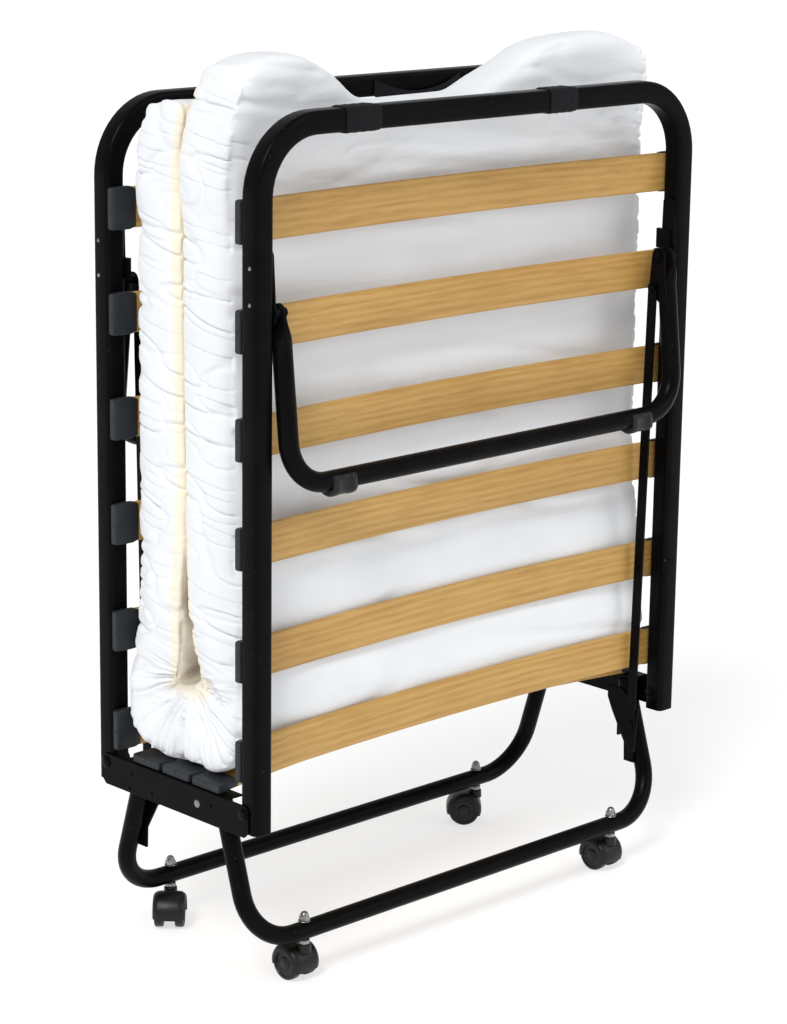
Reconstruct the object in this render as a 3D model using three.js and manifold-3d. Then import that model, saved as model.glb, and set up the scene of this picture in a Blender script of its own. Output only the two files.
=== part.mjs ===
// Folding cot, shown folded: two sprung-slat half frames stand upright on a low wheeled
// centre section, with the mattress doubled between them. Millimetres, +Z up, X across the
// bed, origin on the floor under the middle of the centre section.
import * as THREE from 'three';
import { mergeVertices } from 'three/addons/utils/BufferGeometryUtils.js';
import Module from 'manifold-3d';

const wasm = await Module();
wasm.setup();

// ---------------------------------------------------------------- driving dimensions
const BED_WIDTH = 807;            // over the frame tubes
const GAP = 0.3;                  // between pieces that touch
const FINE = 1;                   // overlap used where two solids are joined into one

// half frame: rounded rectangular tube bent into a U
const FRAME_TUBE_X = 30;
const FRAME_TUBE_Y = 30;
const FRAME_TUBE_ROUND = 6.5;
const FRAME_BEND = 88.5;          // to the tube's centreline
const FRAME_Y = 144;              // tube centreline, from the middle of the folded cot
const POST_BOTTOM = 230;
const FRAME_TOP = 1141;

// hinge of each half on the side plates
const HINGE_Y = 139;
const HINGE_Z = POST_BOTTOM + 26;
const PIN_R = 4;
const HOLE_R = PIN_R + GAP;

// sprung slats and the plastic holders at their ends
const SLAT_WIDTH = 53;
const SLAT_THICK = 8;
const SLAT_BOW = 17;
const SLAT_TOPS = {               // upper edges, above the post bottoms
  front: [118, 250, 396, 535, 671, 806],
  rear: [99, 236, 381, 521, 659, 795],
};
const SLAT_END = 385;             // half length
const HOLDER_WIDTH = 56;
const HOLDER_LONG = 38;
const HOLDER_THICK = 9.6;
const HOLDER_ROUND = 4;

// centre section
const PLATE_THICK = 3;
const PLATE_BOTTOM = POST_BOTTOM - 5;
const PLATE_TOP = POST_BOTTOM + 38;
const PLATE_REACH = 148;          // half length
const PLATE_CORNER_LOW = 8;
const PLATE_CORNER_HIGH = 6;
const PIN_HEAD_R = 7;             // riveted end of each hinge pin
const PIN_FLANGE_R = 8;
const PIN_HEAD_THICK = 2.5;
const FLANGE_HALF = 104;          // half length of the flange that carries the centre slats
const FLANGE_WIDTH = 26;
const CENTRE_SLAT_PITCH = 60.5;
const CENTRE_HOLDER_THICK = 12;

// castor legs: round tube bent into a U, splayed outwards
const CASTOR_LEG_R = 12.5;
const CASTOR_LEG_X = 389.5;
const CASTOR_LEG_Y = 137;         // crossbar
const CASTOR_LEG_Z = 70;
const CASTOR_LEG_TOP = 260;
const CASTOR_LEG_SPLAY = THREE.MathUtils.degToRad(17);
const CASTOR_LEG_BEND = 70;

// castors
const CASTOR_X = 299;
const WHEEL_R = 23;
const WHEEL_INNER = 7.5;
const WHEEL_OUTER = 20.5;
const AXLE_R = 3;
const TRAIL = 17;
const HOOD_R = 26.5;
const HOOD_WALL = 2.2;
const HOOD_FROM = 8;              // degrees round the axle from the trailing side
const HOOD_TO = 190;
const FORK_TOP = 51.5;
const FORK_NECK_R = 9;
const FORK_BOSS_R = 8;
const STEM_R = 4;
const STEM_FOOT = 32;
const COLLAR_R = 7.5;
// cap nut over the tube: [radius, height above its seat]
const CAP_NUT = [[COLLAR_R, 0], [COLLAR_R, 6], [6, 10], [3, 13], [0, 14]];

// foot leg of each half, and the link that keeps it upright while the half turns
const FOOT_LEG_R = 13;
const FOOT_LEG_X = 359.2;
const FOOT_PIVOT = { y: -152, z: POST_BOTTOM + 668 };
const FOOT_BAR = { y: -175.5, z: POST_BOTTOM + 451 };
const FOOT_LEG_TOP = POST_BOTTOM + 645;
const FOOT_LEG_BEND = 57;
const EYE_R = 12;
const EYE_X = [354, 360.3];
const PAD_X = [260, 301];
const PAD_DROP = 20.5;
const PAD_WALL = 2;
const PAD_SOLE_HALF = 7;
const PAD_SOLE_R = 4;
const EYE_NECK = 22;              // length of each arm that is pressed flat below its tube's end
const LINK_OFFSET = { y: 6, z: -45 };
const LINK_X = [339.2, 342.4];
const LEVER_X = [342.7, 345.7];
const LINK_R = 7.5;
const LINK_PIN_R = 3.5;
const LINK_HOLE_R = 4.1;
const RIVET_HEAD_R = 6;
const RIVET_HEAD_THICK = 2.5;
// corners of the bent plates, each [y, z, radius] from the pin they hold
const LEG_BRACKET_CORNERS = [[8, 70, 10], [8, 0, 11.5], [2, -8, 9]];
const LEG_BRACKET_THICK = 3;
const LEG_BRACKET_LIP = { depth: 6, y: [2, 26], z: [7, 34] };
const LEG_PIN_HEAD_R = 6.5;
const LEG_PIN_SHOULDER_R = 9;
const LEVER_CORNERS = [[0, 0, 11], [6, -45, 9], [-9, -59, 8]];
const LINK_BRACKET_CORNERS = [[0, 20, 10], [20, 14, 8], [12, -14, 8], [2, -36, 8]];
const LINK_BRACKET_WEB = { y: [25, 28], z: [-22, 16] };
// plate on the inner side of the castor leg's arm that carries the bracket: [y, height over POST_BOTTOM]
const GUSSET = [
  [-112, -90], [-93, -90], [-92, -62], [-67, -19], [-58, 0], [-58, 18], [-84, 18], [-109, 0],
];
const GUSSET_THICK = 3;

// mattress
const MATTRESS_X = 386;
const MATTRESS_FRONT = 90;        // outer face of each limb, from the middle
const MATTRESS_REAR = 96;
const MATTRESS_SPLIT = 8;         // where the limbs meet
const MATTRESS_BOTTOM = POST_BOTTOM + 122;
const MATTRESS_HUMP = 1200;       // the front limb swells up over the bar at both sides
const MATTRESS_DIP = 1132;
const FOLD_BOTTOM = POST_BOTTOM + 67;
const FOLD_Y = 102;             // the bend bulges out past both limbs
const SOFT_EDGE = 12;
// top edge of each limb, from the side to the middle: [inset from the side, drop below the hump]
const DIP = MATTRESS_HUMP - MATTRESS_DIP;
const SWOLLEN_TOP = [[0, 110], [10, 50], [40, 8], [80, 0], [140, 2], [175, 20], [230, DIP]];
const FLAT_TOP = [[0, DIP + 50], [10, DIP + 8], [40, DIP]];
// lower corner of the bend: [inset from its outer face, height above its underside]
const FOLD_CORNER = [[22, 6], [50, 0]];
const FOLD_SHOULDER = 8;

// ---------------------------------------------------------------- materials
const finish = (color, roughness, metalness) =>
  new THREE.MeshStandardMaterial({ color, roughness, metalness });
const blackPaint = finish(0x141416, 0.42, 0.6);
const beech = finish(0xc49a5c, 0.5, 0);
const blackPlastic = finish(0x1b1d20, 0.5, 0);
const zinc = finish(0x9a9ea3, 0.35, 0.9);
const cotton = finish(0xf4f3f0, 0.9, 0);

// ---------------------------------------------------------------- solids
function toSolid(geometry) {
  const bare = geometry.index ? geometry.toNonIndexed() : geometry.clone();
  bare.deleteAttribute('normal');
  bare.deleteAttribute('uv');
  const merged = mergeVertices(bare, 1e-4);
  return new wasm.Manifold(new wasm.Mesh({
    numProp: 3,
    vertProperties: Float32Array.from(merged.attributes.position.array),
    triVerts: Uint32Array.from(merged.index.array),
  }));
}

function toGeometry(solid) {
  const mesh = solid.getMesh();
  const geometry = new THREE.BufferGeometry();
  geometry.setAttribute('position', new THREE.BufferAttribute(mesh.vertProperties, 3));
  geometry.setIndex(new THREE.BufferAttribute(mesh.triVerts, 1));
  geometry.computeVertexNormals();
  return geometry;
}

function join(...geometries) {
  return toGeometry(geometries.map(toSolid).reduce((whole, piece) => whole.add(piece)));
}

function cut(geometry, ...tools) {
  return toGeometry(tools.map(toSolid).reduce((whole, tool) => whole.subtract(tool), toSolid(geometry)));
}

function box(x, y, z) {
  const size = [x, y, z].map(([low, high]) => high - low);
  const middle = [x, y, z].map(([low, high]) => (high + low) / 2);
  return new THREE.BoxGeometry(...size).translate(...middle);
}

// Turned piece: profile points are [radius, height] up its axis, which starts as +Z.
function turned(profile, segments) {
  const points = profile.map(([radius, height]) => new THREE.Vector2(radius, height));
  return new THREE.LatheGeometry(points, segments).rotateX(Math.PI / 2);
}

function rodZ(radius, low, high, segments = 12) {
  return turned([[0, low], [radius, low], [radius, high], [0, high]], segments);
}

// Same turned piece, lying along X with its heights measured along +X.
function alongX(geometry, y, z) {
  return geometry.rotateY(Math.PI / 2).translate(0, y, z);
}

// Sheet in a YZ plane, from the outline's [y, z] points, between two values of x.
function sheet(outline, [low, high]) {
  const shape = new THREE.Shape(outline.map(([y, z]) => new THREE.Vector2(y, z)));
  const geometry = new THREE.ExtrudeGeometry(shape, { depth: high - low, bevelEnabled: false });
  geometry.rotateZ(Math.PI / 2).rotateY(Math.PI / 2);
  return geometry.translate(low, 0, 0);
}

// Outline that wraps a set of round bosses, each [y, z, radius].
function wrapBosses(bosses, steps = 12) {
  const points = bosses.flatMap(([y, z, radius]) =>
    Array.from({ length: steps }, (_, i) => {
      const angle = (2 * Math.PI * (i + 0.5)) / steps;
      return [y + radius * Math.cos(angle), z + radius * Math.sin(angle)];
    }));
  points.sort((a, b) => a[0] - b[0] || a[1] - b[1]);
  const turn = (a, b, c) => (b[0] - a[0]) * (c[1] - a[1]) - (b[1] - a[1]) * (c[0] - a[0]);
  const chain = (list) => list.reduce((kept, point) => {
    while (kept.length > 1 && turn(kept.at(-2), kept.at(-1), point) <= 0) {
      kept.pop();
    }
    kept.push(point);
    return kept;
  }, []);
  const lower = chain(points);
  const upper = chain([...points].reverse());
  return [...lower.slice(0, -1), ...upper.slice(0, -1)];
}

function roundedRectangle(width, height, radius) {
  const shape = new THREE.Shape();
  const [w, h] = [width / 2 - radius, height / 2 - radius];
  shape.absarc(w, h, radius, 0, Math.PI / 2, false);
  shape.absarc(-w, h, radius, Math.PI / 2, Math.PI, false);
  shape.absarc(-w, -h, radius, Math.PI, 1.5 * Math.PI, false);
  shape.absarc(w, -h, radius, 1.5 * Math.PI, 2 * Math.PI, false);
  shape.closePath();
  return shape;
}

// Flat bent path: straight legs between corners, with a round bend at each inner corner.
class BentPath extends THREE.Curve {
  constructor(corners, bendRadius, stepsPerBend, planeNormal) {
    super();
    this.planeNormal = planeNormal.clone().normalize();
    this.rings = [];
    const last = corners.length - 1;
    corners.forEach((corner, i) => {
      const before = i > 0 ? corner.clone().sub(corners[i - 1]).normalize() : null;
      const after = i < last ? corners[i + 1].clone().sub(corner).normalize() : null;
      if (!before || !after) {
        this.rings.push({ point: corner.clone(), tangent: before ?? after });
        return;
      }
      const bend = before.angleTo(after);
      const start = corner.clone().addScaledVector(before, -bendRadius * Math.tan(bend / 2));
      const inward = after.clone().sub(before.clone().multiplyScalar(after.dot(before))).normalize();
      for (let k = 0; k <= stepsPerBend; k += 1) {
        const angle = (bend * k) / stepsPerBend;
        this.rings.push({
          point: start.clone()
            .addScaledVector(before, bendRadius * Math.sin(angle))
            .addScaledVector(inward, bendRadius * (1 - Math.cos(angle))),
          tangent: before.clone().multiplyScalar(Math.cos(angle))
            .addScaledVector(inward, Math.sin(angle)),
        });
      }
    });
  }

  getPoint(t, target = new THREE.Vector3()) {
    const place = Math.min(t, 1) * (this.rings.length - 1);
    const ring = Math.min(Math.floor(place), this.rings.length - 2);
    return target.lerpVectors(this.rings[ring].point, this.rings[ring + 1].point, place - ring);
  }

  getSpacedPoints() {
    return this.rings.map((ring) => ring.point.clone());
  }

  computeFrenetFrames() {
    const tangents = this.rings.map((ring) => ring.tangent.clone());
    const binormals = this.rings.map(() => this.planeNormal.clone());
    const normals = tangents.map((tangent) => this.planeNormal.clone().cross(tangent).normalize());
    return { tangents, normals, binormals };
  }
}

function sweep(path, section, curveSegments) {
  return new THREE.ExtrudeGeometry(section, {
    extrudePath: path, steps: path.rings.length - 1, bevelEnabled: false, curveSegments,
  });
}

function circle(radius) {
  const shape = new THREE.Shape();
  shape.absarc(0, 0, radius, 0, 2 * Math.PI, false);
  return shape;
}

// Upright U: up or down both sides and across, in a plane that leans along Y.
function uTube(halfWidth, openEnd, closedEnd, bendRadius, section, stepsPerBend, curveSegments) {
  const corners = [
    new THREE.Vector3(-halfWidth, openEnd.y, openEnd.z),
    new THREE.Vector3(-halfWidth, closedEnd.y, closedEnd.z),
    new THREE.Vector3(halfWidth, closedEnd.y, closedEnd.z),
    new THREE.Vector3(halfWidth, openEnd.y, openEnd.z),
  ];
  const rise = corners[1].clone().sub(corners[0]);
  const planeNormal = rise.cross(new THREE.Vector3(1, 0, 0));
  return sweep(new BentPath(corners, bendRadius, stepsPerBend, planeNormal), section, curveSegments);
}

// ---------------------------------------------------------------- scene graph helpers
function add(parent, name, geometry, material) {
  const mesh = new THREE.Mesh(geometry, material.clone());
  mesh.name = name;
  parent.add(mesh);
}

const mirrorRange = (side, [low, high]) => (side > 0 ? [low, high] : [-high, -low]);

// ---------------------------------------------------------------- slats
// One bowed slat lying along X, its width along Z, bowing towards +Y, with both holders.
function slatWithHolders(holderThick) {
  const steps = 8;
  const bow = (x) => SLAT_BOW * (1 - (x / SLAT_END) ** 2);
  const stations = Array.from({ length: steps + 1 }, (_, i) => SLAT_END * ((2 * i) / steps - 1));
  const lower = stations.map((x) => new THREE.Vector2(x, bow(x) - SLAT_THICK / 2));
  const upper = stations.map((x) => new THREE.Vector2(x, bow(x) + SLAT_THICK / 2));
  const plank = new THREE.ExtrudeGeometry(new THREE.Shape([...lower, ...upper.reverse()]), {
    depth: SLAT_WIDTH, bevelEnabled: false,
  }).translate(0, 0, -SLAT_WIDTH / 2);
  const outer = BED_WIDTH / 2;
  const holders = [-1, 1].map((side) => {
    const shape = roundedRectangle(HOLDER_LONG, HOLDER_WIDTH, HOLDER_ROUND);
    return new THREE.ExtrudeGeometry(shape, { depth: holderThick, bevelEnabled: false, curveSegments: 2 })
      .rotateX(Math.PI / 2)
      .translate(side * (outer - HOLDER_LONG / 2), holderThick / 2, 0);
  });
  return join(plank, ...holders);
}

// ---------------------------------------------------------------- one folding half
function framePosts() {
  const section = roundedRectangle(FRAME_TUBE_X, FRAME_TUBE_Y, FRAME_TUBE_ROUND);
  const tube = uTube(
    (BED_WIDTH - FRAME_TUBE_X) / 2,
    { y: -FRAME_Y, z: POST_BOTTOM },
    { y: -FRAME_Y, z: FRAME_TOP - FRAME_TUBE_X / 2 },
    FRAME_BEND, section, 6, 2,
  );
  const pinHole = alongX(rodZ(HOLE_R, -BED_WIDTH, BED_WIDTH), -HINGE_Y, HINGE_Z);
  return cut(tube, pinHole);
}

const cornersFrom = ({ y, z }, corners) => corners.map(([dy, dz, radius]) => [y + dy, z + dz, radius]);

// Bracket on a post's inner face with the pin that the foot leg turns on.
function legBracket(side, withLever) {
  const inner = BED_WIDTH / 2 - FRAME_TUBE_X - GAP;
  const { y, z } = FOOT_PIVOT;
  const base = sheet(
    wrapBosses(cornersFrom(FOOT_PIVOT, LEG_BRACKET_CORNERS)),
    mirrorRange(side, [inner - LEG_BRACKET_THICK, inner]),
  );
  const lip = box(
    mirrorRange(side, [inner - LEG_BRACKET_LIP.depth, inner]),
    LEG_BRACKET_LIP.y.map((offset) => y + offset), LEG_BRACKET_LIP.z.map((offset) => z + offset),
  );
  const pinEnd = withLever ? LEVER_X[0] - GAP : EYE_X[0] - GAP;
  const headEnd = pinEnd - PIN_HEAD_THICK;
  const shoulder = EYE_X[1] + GAP;
  const pin = turned([
    [0, headEnd], [LEG_PIN_HEAD_R, headEnd], [LEG_PIN_HEAD_R, pinEnd], [PIN_R, pinEnd], [PIN_R, shoulder],
    [LEG_PIN_SHOULDER_R, shoulder], [LEG_PIN_SHOULDER_R, inner - FINE], [0, inner - FINE],
  ], 10);
  const placed = alongX(pin, 0, 0);
  if (side < 0) {
    placed.rotateY(Math.PI);
  }
  placed.translate(0, y, z);
  return join(base, lip, placed);
}

// U tube with a flattened eye at the top of each arm.
function footLeg() {
  const lean = (FOOT_PIVOT.y - FOOT_BAR.y) / (FOOT_PIVOT.z - FOOT_BAR.z);
  const yAt = (z) => FOOT_BAR.y + lean * (z - FOOT_BAR.z);
  const tube = uTube(
    FOOT_LEG_X, { y: yAt(FOOT_LEG_TOP), z: FOOT_LEG_TOP }, FOOT_BAR,
    FOOT_LEG_BEND, circle(FOOT_LEG_R), 5, 6,
  );
  const eyeFoot = FOOT_LEG_TOP - EYE_NECK;
  const eyes = [-1, 1].map((side) => sheet(
    wrapBosses([[FOOT_PIVOT.y, FOOT_PIVOT.z, EYE_R], [yAt(eyeFoot), eyeFoot, FOOT_LEG_R - FINE]]),
    mirrorRange(side, EYE_X),
  ));
  const pinHole = alongX(rodZ(HOLE_R, -BED_WIDTH, BED_WIDTH), FOOT_PIVOT.y, FOOT_PIVOT.z);
  return cut(join(tube, ...eyes), pinHole);
}

function footPad(side) {
  const { y, z } = FOOT_BAR;
  const soleZ = PAD_SOLE_R - PAD_DROP;
  const corners = [
    [0, 0, FOOT_LEG_R + PAD_WALL], [-PAD_SOLE_HALF, soleZ, PAD_SOLE_R], [PAD_SOLE_HALF, soleZ, PAD_SOLE_R],
  ];
  const block = sheet(wrapBosses(cornersFrom(FOOT_BAR, corners), 20), mirrorRange(side, PAD_X));
  return cut(block, alongX(rodZ(FOOT_LEG_R + GAP, -BED_WIDTH, BED_WIDTH, 24), y, z));
}

const LEVER_PIN = { y: FOOT_PIVOT.y + LINK_OFFSET.y, z: FOOT_PIVOT.z + LINK_OFFSET.z };
const BRACKET_PIN = { y: -HINGE_Y + LINK_OFFSET.y, z: HINGE_Z + LINK_OFFSET.z };

// Rivet that the link turns on, standing inwards from a plate at LEVER_X.
function linkRivet({ y, z }) {
  const seat = LINK_X[0] - GAP;
  const head = seat - RIVET_HEAD_THICK;
  const root = LEVER_X[0] + FINE;
  const rivet = turned([
    [0, head], [RIVET_HEAD_R, head], [RIVET_HEAD_R, seat], [LINK_PIN_R, seat], [LINK_PIN_R, root], [0, root],
  ], 10);
  return alongX(rivet, y, z);
}

// Plate on the foot leg's arm that the link pulls on.
function linkLever() {
  const plate = sheet(wrapBosses(cornersFrom(FOOT_PIVOT, LEVER_CORNERS)), LEVER_X);
  const pinHole = alongX(rodZ(HOLE_R, 0, BED_WIDTH), FOOT_PIVOT.y, FOOT_PIVOT.z);
  return join(cut(plate, pinHole), linkRivet(LEVER_PIN));
}

function linkBar() {
  const bar = sheet(wrapBosses([
    [BRACKET_PIN.y, BRACKET_PIN.z, LINK_R], [LEVER_PIN.y, LEVER_PIN.z, LINK_R],
  ]), LINK_X);
  const holes = [BRACKET_PIN, LEVER_PIN].map(({ y, z }) =>
    alongX(rodZ(LINK_HOLE_R, 0, BED_WIDTH), y, z));
  return cut(bar, ...holes);
}

// Half of the doubled mattress: a slab with soft edges below the given top edge.
function mattressLimb(topEdge, yLow, yHigh) {
  const e = SOFT_EDGE;
  const x = MATTRESS_X - e;
  const bottom = MATTRESS_BOTTOM + e;
  const top = topEdge.map(([inset, drop]) => [x - inset, MATTRESS_HUMP - e - drop]);
  const outline = [[-x, bottom], [x, bottom], ...top, ...top.map(([px, pz]) => [-px, pz]).reverse()];
  const shape = new THREE.Shape(outline.map(([px, pz]) => new THREE.Vector2(px, pz)));
  return new THREE.ExtrudeGeometry(shape, {
    depth: yHigh - yLow - 2 * e, bevelEnabled: true, bevelThickness: e, bevelSize: e, bevelSegments: 2,
  }).rotateX(Math.PI / 2).translate(0, yHigh - e, 0);
}

// The front half stands at -Y. The rear half is the same, turned half a turn about Z.
function foldingHalf(end) {
  const half = new THREE.Group();
  const sideName = (side) => ((side > 0) === (end === 'front') ? 'right' : 'left');
  add(half, `${end}_frame`, framePosts(), blackPaint);
  const slatY = -FRAME_Y + FRAME_TUBE_Y / 2 + GAP + HOLDER_THICK / 2;
  SLAT_TOPS[end].forEach((top, i) => {
    const slat = slatWithHolders(HOLDER_THICK).translate(0, slatY, POST_BOTTOM + top - SLAT_WIDTH / 2);
    add(half, `${end}_slat_${i + 1}`, slat, beech);
  });
  for (const side of [-1, 1]) {
    add(half, `${end}_${sideName(side)}_leg_bracket`, legBracket(side, side > 0), blackPaint);
    add(half, `${end}_${sideName(side)}_foot_pad`, footPad(side), blackPlastic);
  }
  add(half, `${end}_foot_leg`, footLeg(), blackPaint);
  add(half, `${end}_link_lever`, linkLever(), blackPaint);
  add(half, `${end}_link`, linkBar(), blackPaint);
  const mattress = end === 'front'
    ? mattressLimb(SWOLLEN_TOP, -MATTRESS_FRONT, MATTRESS_SPLIT - GAP)
    : mattressLimb(FLAT_TOP, -MATTRESS_REAR, -MATTRESS_SPLIT - GAP);
  add(half, `${end}_mattress`, mattress, cotton);
  return half;
}

// ---------------------------------------------------------------- centre section
// Angle that joins the two halves' hinges and carries the centre slats on its flange.
function sidePlate(side) {
  const outer = BED_WIDTH / 2 + GAP;
  const rearEdge = [
    [PLATE_REACH - PLATE_CORNER_LOW, PLATE_BOTTOM], [PLATE_REACH, PLATE_BOTTOM + PLATE_CORNER_LOW],
    [PLATE_REACH, PLATE_TOP - PLATE_CORNER_HIGH], [PLATE_REACH - PLATE_CORNER_HIGH, PLATE_TOP],
  ];
  const frontEdge = rearEdge.map(([y, z]) => [-y, z]).reverse();
  const web = sheet([...rearEdge, ...frontEdge], mirrorRange(side, [outer, outer + PLATE_THICK]));
  const flange = box(
    mirrorRange(side, [outer - FLANGE_WIDTH, outer + FINE]),
    [-FLANGE_HALF, FLANGE_HALF], [PLATE_TOP - PLATE_THICK, PLATE_TOP],
  );
  const holes = [-1, 1].map((end) =>
    alongX(rodZ(HOLE_R, -BED_WIDTH, BED_WIDTH), end * HINGE_Y, HINGE_Z));
  return cut(join(web, flange), ...holes);
}

function hingePin(side, end) {
  const post = BED_WIDTH / 2;
  const head = post + GAP + PLATE_THICK + GAP;
  const tail = post - FRAME_TUBE_X - GAP;
  const pin = turned([
    [0, tail - PIN_HEAD_THICK], [PIN_HEAD_R, tail - PIN_HEAD_THICK], [PIN_HEAD_R, tail], [PIN_R, tail],
    [PIN_R, head], [PIN_FLANGE_R, head], [PIN_HEAD_R, head + PIN_HEAD_THICK], [0, head + PIN_HEAD_THICK],
  ], 10);
  const placed = alongX(pin, 0, 0);
  if (side < 0) {
    placed.rotateY(Math.PI);
  }
  return placed.translate(0, end * HINGE_Y, HINGE_Z);
}

function castorLeg(end) {
  const rise = CASTOR_LEG_TOP - CASTOR_LEG_Z;
  const tube = uTube(
    CASTOR_LEG_X,
    { y: end * (CASTOR_LEG_Y - rise * Math.tan(CASTOR_LEG_SPLAY)), z: CASTOR_LEG_TOP },
    { y: end * CASTOR_LEG_Y, z: CASTOR_LEG_Z },
    CASTOR_LEG_BEND, circle(CASTOR_LEG_R), 5, 6,
  );
  const holes = [-1, 1].map((side) =>
    rodZ(STEM_R + GAP, 0, 2 * CASTOR_LEG_Z).translate(side * CASTOR_X, end * CASTOR_LEG_Y, 0));
  return cut(tube, ...holes);
}

// Bent plate from the front castor leg's right arm to the link's lower pivot.
function linkBracket() {
  const { y, z } = BRACKET_PIN;
  const plate = sheet(wrapBosses(cornersFrom(BRACKET_PIN, LINK_BRACKET_CORNERS)), LEVER_X);
  const tube = CASTOR_LEG_X - CASTOR_LEG_R - GAP;
  const web = box(
    [LEVER_X[0], tube],
    LINK_BRACKET_WEB.y.map((offset) => y + offset), LINK_BRACKET_WEB.z.map((offset) => z + offset),
  );
  const gusset = sheet(GUSSET.map(([gy, gz]) => [gy, POST_BOTTOM + gz]), [tube - GUSSET_THICK, tube]);
  return join(plate, web, gusset, linkRivet(BRACKET_PIN));
}

function castorStem() {
  const under = CASTOR_LEG_Z - CASTOR_LEG_R - GAP;
  const over = CASTOR_LEG_Z + CASTOR_LEG_R + GAP;
  const seat = FORK_TOP + GAP;
  return turned([
    [0, STEM_FOOT], [STEM_R, STEM_FOOT], [STEM_R, seat], [COLLAR_R, seat], [COLLAR_R, under],
    [STEM_R, under], [STEM_R, over], ...CAP_NUT.map(([radius, height]) => [radius, over + height]),
  ], 10);
}

// Castor fork, trailing towards +Y from its stem: a web between the wheels and a hood.
function castorFork() {
  const webHalf = WHEEL_INNER - 2 * GAP;
  const web = sheet(wrapBosses([
    [TRAIL, WHEEL_R, FORK_NECK_R], [0, WHEEL_R + 14, FORK_BOSS_R],
    [0, FORK_TOP - FORK_BOSS_R, FORK_BOSS_R], [TRAIL, HOOD_R + 12, FORK_NECK_R],
  ]), [-webHalf, webHalf]);
  const steps = 8;
  const arc = (radius, from, to) => Array.from({ length: steps + 1 }, (_, i) => {
    const angle = THREE.MathUtils.degToRad(from + ((to - from) * i) / steps);
    return [TRAIL + radius * Math.cos(angle), WHEEL_R + radius * Math.sin(angle)];
  });
  const hood = sheet(
    [...arc(HOOD_R, HOOD_FROM, HOOD_TO), ...arc(HOOD_R - HOOD_WALL, HOOD_TO, HOOD_FROM)],
    [-WHEEL_OUTER, WHEEL_OUTER],
  );
  const neck = rodZ(FORK_NECK_R, FORK_TOP - 6, FORK_TOP);
  const axleHole = alongX(rodZ(AXLE_R + GAP, -WHEEL_OUTER, WHEEL_OUTER), TRAIL, WHEEL_R);
  const stemBore = rodZ(STEM_R + GAP, STEM_FOOT - FINE, FORK_TOP + FINE);
  return cut(join(web, hood, neck), axleHole, stemBore);
}

// Both wheels of a twin castor on their axle, along X.
function castorWheels() {
  const rim = [
    [AXLE_R, WHEEL_INNER], [WHEEL_R - 2, WHEEL_INNER], [WHEEL_R, WHEEL_INNER + 2],
    [WHEEL_R, WHEEL_OUTER - 3], [WHEEL_R - 4, WHEEL_OUTER], [0, WHEEL_OUTER],
  ];
  const profile = [...rim.map(([r, x]) => [r, -x]).reverse(), ...rim];
  return alongX(turned(profile, 16), TRAIL, WHEEL_R);
}

const CASTORS = [
  { name: 'front_left', side: -1, end: -1, heading: 0 },
  { name: 'front_right', side: 1, end: -1, heading: 0 },
  { name: 'rear_left', side: -1, end: 1, heading: 136 },
  { name: 'rear_right', side: 1, end: 1, heading: 46 },
];

function centreSection() {
  const centre = new THREE.Group();
  for (const [side, sideName] of [[-1, 'left'], [1, 'right']]) {
    add(centre, `${sideName}_side_plate`, sidePlate(side), blackPaint);
    for (const [end, endName] of [[-1, 'front'], [1, 'rear']]) {
      add(centre, `${endName}_${sideName}_hinge_pin`, hingePin(side, end), blackPaint);
    }
  }
  add(centre, 'front_castor_leg', castorLeg(-1), blackPaint);
  add(centre, 'rear_castor_leg', castorLeg(1), blackPaint);
  add(centre, 'front_link_bracket', linkBracket(), blackPaint);
  add(centre, 'rear_link_bracket', linkBracket().rotateZ(Math.PI), blackPaint);
  const slatZ = PLATE_TOP + GAP + CENTRE_HOLDER_THICK / 2;
  [-1, 0, 1].forEach((place, i) => {
    const slat = slatWithHolders(CENTRE_HOLDER_THICK).rotateX(Math.PI / 2);
    add(centre, `centre_slat_${i + 1}`, slat.translate(0, place * CENTRE_SLAT_PITCH, slatZ), beech);
  });
  for (const { name, side, end, heading } of CASTORS) {
    const castor = new THREE.Group();
    castor.position.set(side * CASTOR_X, end * CASTOR_LEG_Y, 0);
    castor.rotation.z = THREE.MathUtils.degToRad(heading);
    add(castor, `${name}_castor_stem`, castorStem(), zinc);
    add(castor, `${name}_castor_fork`, castorFork(), blackPlastic);
    add(castor, `${name}_castor_wheels`, castorWheels(), blackPlastic);
    centre.add(castor);
  }
  return centre;
}

// Bend of the mattress, lying on the centre slats: rounded below, flat above.
function mattressFold() {
  const e = SOFT_EDGE;
  const top = MATTRESS_BOTTOM - FINE - e;
  const bottom = FOLD_BOTTOM + e;
  const y = FOLD_Y - e;
  const corner = FOLD_CORNER.map(([inset, height]) => [inset - y, bottom + height]);
  const front = [[-y, top], [-y, top - FOLD_SHOULDER], ...corner];
  const outline = [...front, ...front.map(([py, pz]) => [-py, pz]).reverse()];
  const shape = new THREE.Shape(outline.map(([py, pz]) => new THREE.Vector2(py, pz)));
  return new THREE.ExtrudeGeometry(shape, {
    depth: 2 * (MATTRESS_X - e), bevelEnabled: true, bevelThickness: e, bevelSize: e, bevelSegments: 2,
  }).rotateZ(Math.PI / 2).rotateY(Math.PI / 2).translate(-MATTRESS_X + e, 0, 0);
}

// ---------------------------------------------------------------- whole cot
const cot = new THREE.Group();
cot.add(foldingHalf('front'));
const rear = foldingHalf('rear');
rear.rotation.z = Math.PI;
cot.add(rear);
const centre = centreSection();
add(centre, 'mattress_fold', mattressFold(), cotton);
cot.add(centre);
cot.updateMatrixWorld(true);

export default cot;
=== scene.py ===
"""Folding cot, shown folded, dressed over its CAD frame.

Lengths are in millimetres until they reach a mesh.
"""

import math

import bmesh
import bpy
import numpy as np
from mathutils import Matrix, Vector


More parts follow.
